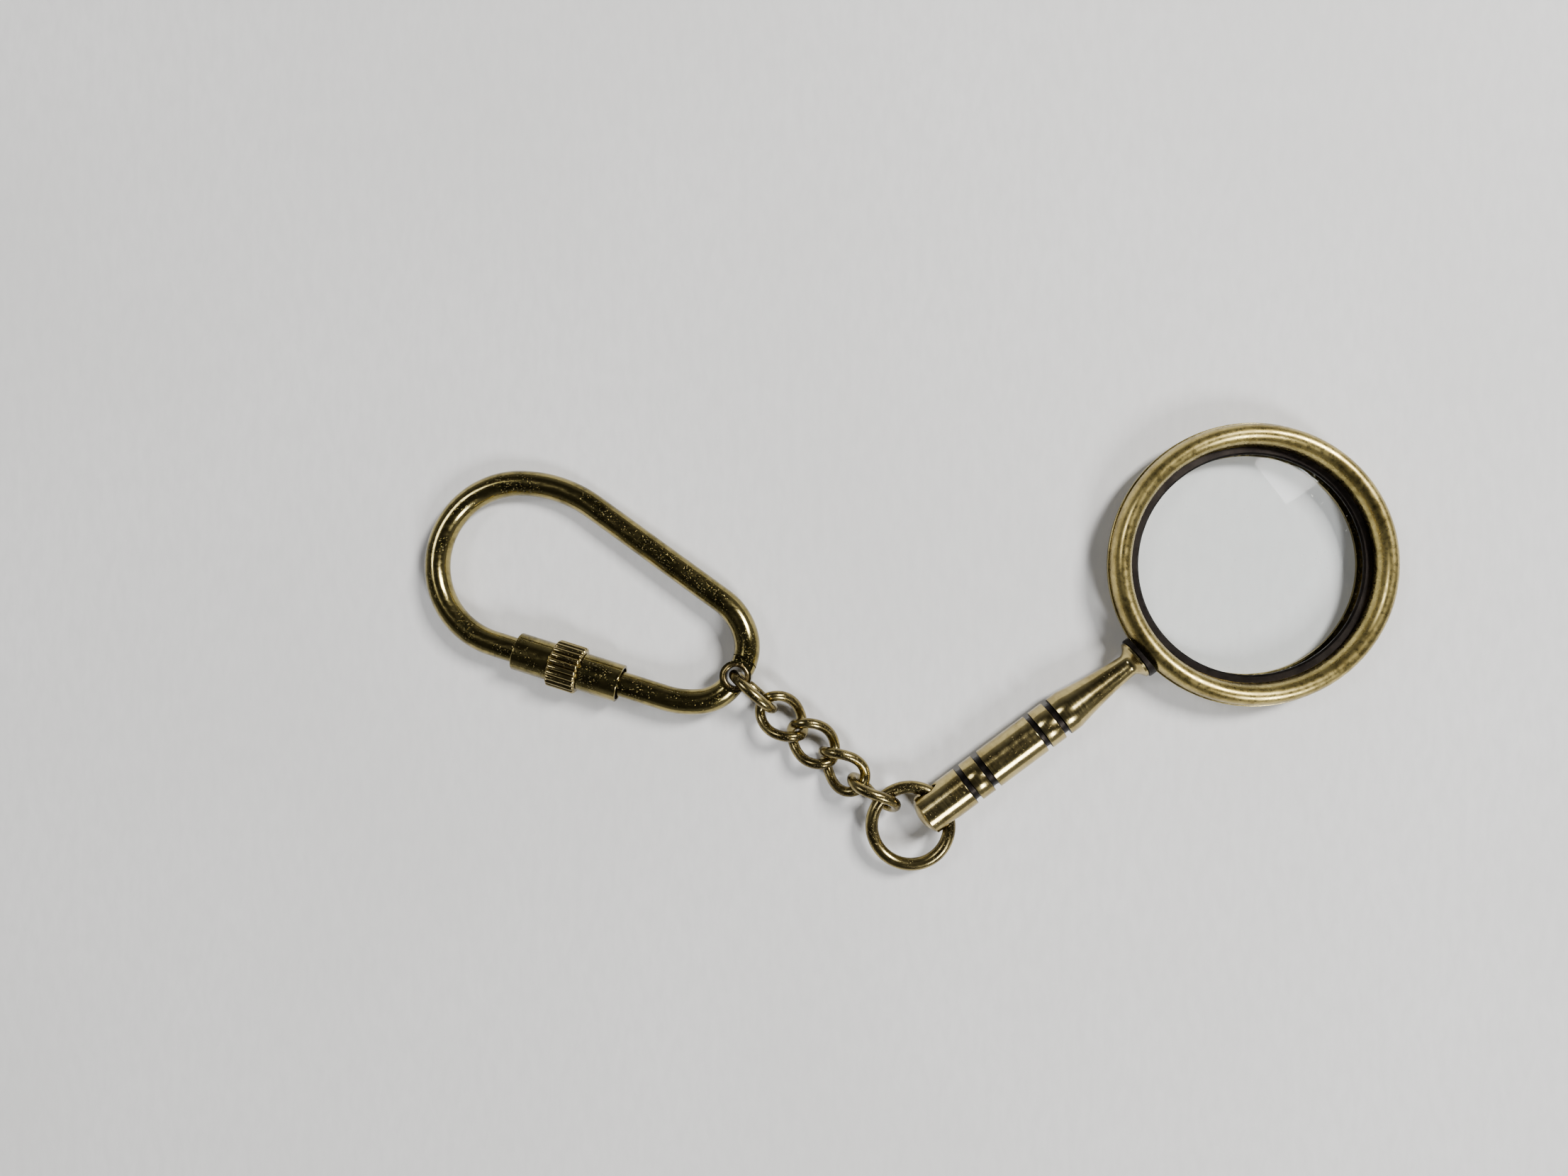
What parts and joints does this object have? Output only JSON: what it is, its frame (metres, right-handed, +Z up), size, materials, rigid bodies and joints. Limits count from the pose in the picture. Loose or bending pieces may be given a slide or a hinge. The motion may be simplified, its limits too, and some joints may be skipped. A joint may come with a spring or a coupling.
{
  "type": "carabiner keyring with pocket magnifier",
  "caption": "Screw-gate carabiner joined by a short curb chain and a jump ring to a grooved handle that carries a framed round magnifying lens, all in antique brass.",
  "frame": {"origin": "centre of the laid-out keyring's bounding box, on the table plane that it lies on", "axes": "+X along the laid-out length, from the carabiner to the magnifier; +Z up from the table, the way the front of the lens faces; +Y across"},
  "size_m": [0.1126, 0.0518, 0.0057],
  "materials": {
    "polished_brass": "polished, olive-dark patina",
    "satin_brass": "satin, lathe-turned",
    "chain_brass": "dull, scratched",
    "blackened_brass": "blackened, matte",
    "clear_glass": "clear, polished"
  },
  "bodies": {
    "long_arm": {"long_arm": "polished_brass", "hinge_eyelet": "polished_brass"},
    "gate_arm": {"gate_arm": "polished_brass"},
    "sleeve": {"sleeve_barrel": "polished_brass"},
    "collar": {"knurled_collar": "polished_brass"},
    "link_1": {"chain_link_1": "chain_brass"},
    "link_2": {"chain_link_2": "chain_brass"},
    "link_3": {"chain_link_3": "chain_brass"},
    "link_4": {"chain_link_4": "chain_brass"},
    "link_5": {"chain_link_5": "chain_brass"},
    "ring": {"jump_ring": "chain_brass"},
    "magnifier": {"handle": "satin_brass", "handle_stud": "chain_brass", "neck_boss": "blackened_brass", "lens_frame": "satin_brass", "front_bezel": "satin_brass", "retaining_ring": "blackened_brass", "lens": "clear_glass"}
  },
  "joints": [
    {"name": "gate_pivot", "type": "hinge", "parent": "long_arm", "child": "gate_arm", "pos_m": [-0.01901, -0.00334, 0.00285], "axis": [0.0036, 0.0622, 0.9981], "range_deg": [0, 24.02]},
    {"name": "sleeve_slide", "type": "slide", "parent": "gate_arm", "child": "sleeve", "axis": [0.9558, -0.2936, 0.0149], "range_m": [0, 0.008]},
    {"name": "collar_spin", "type": "hinge", "parent": "sleeve", "child": "collar", "pos_m": [-0.03903, -0.00229, 0.00286], "axis": [0.9558, -0.2936, 0.0149], "range_deg": [0, 2882.88]},
    {"name": "link_1_swivel", "type": "hinge", "parent": "long_arm", "child": "link_1", "pos_m": [-0.01901, -0.00334, 0.00285], "axis": [0, 0, 1], "range_deg": [-20, 20]},
    {"name": "link_2_swing", "type": "hinge", "parent": "link_1", "child": "link_2", "pos_m": [-0.01471, -0.00709, 0.00285], "axis": [0, 0, 1], "range_deg": [-8, 8]},
    {"name": "link_3_swing", "type": "hinge", "parent": "link_2", "child": "link_3", "pos_m": [-0.01122, -0.01001, 0.00257], "axis": [0, 0, 1], "range_deg": [-8, 8]},
    {"name": "link_4_swing", "type": "hinge", "parent": "link_3", "child": "link_4", "pos_m": [-0.00769, -0.01298, 0.00246], "axis": [0, 0, 1], "range_deg": [-8, 8]},
    {"name": "link_5_swing", "type": "hinge", "parent": "link_4", "child": "link_5", "pos_m": [-0.00435, -0.0161, 0.00262], "axis": [0, 0, 1], "range_deg": [-8, 8]},
    {"name": "ring_swing", "type": "hinge", "parent": "link_5", "child": "ring", "pos_m": [0.00135, -0.02066, 0.0025], "axis": [0, 0, 1], "range_deg": [-20, 20]},
    {"name": "handle_tilt", "type": "hinge", "parent": "ring", "child": "magnifier", "pos_m": [0.0047, -0.01827, 0.0025], "axis": [0.6046, -0.7965, 0], "range_deg": [0, 90]}
  ],
  "couplings": [
    {"joint": "collar_spin", "follows": "sleeve_slide", "rad_per_m": 6283.2},
    {"joint": "gate_pivot", "follows": "sleeve_slide", "rad_per_m": 52.36}
  ]
}
